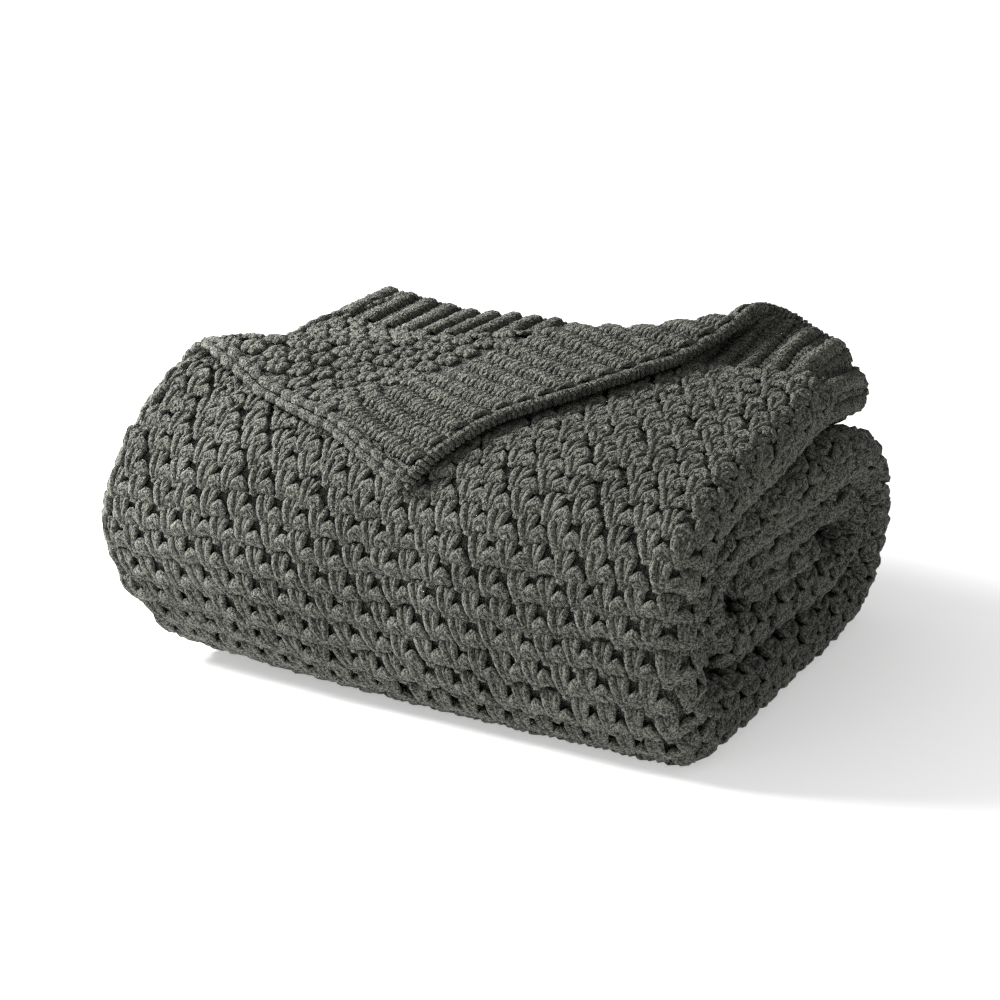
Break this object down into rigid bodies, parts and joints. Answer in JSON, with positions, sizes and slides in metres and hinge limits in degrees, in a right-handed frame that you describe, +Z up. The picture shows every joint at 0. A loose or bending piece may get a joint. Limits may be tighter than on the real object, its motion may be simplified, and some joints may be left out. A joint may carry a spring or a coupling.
{
  "type": "folded knit blanket",
  "caption": "Chunky knit blanket folded and rolled over into flat soft bands, with a ribbed border and a corner of the top ply turned over, resting flat on its underside.",
  "frame": {"origin": "middle of the bounding box on the floor", "axes": "+X along the long fold, towards the end where the rolled bands show, +Y towards the back, +Z up"},
  "size_m": [0.5884, 0.4762, 0.2875],
  "materials": {
    "knit": "matt velvety chenille"
  },
  "bodies": {
    "root": {"blanket": "knit"}
  },
  "joints": []
}
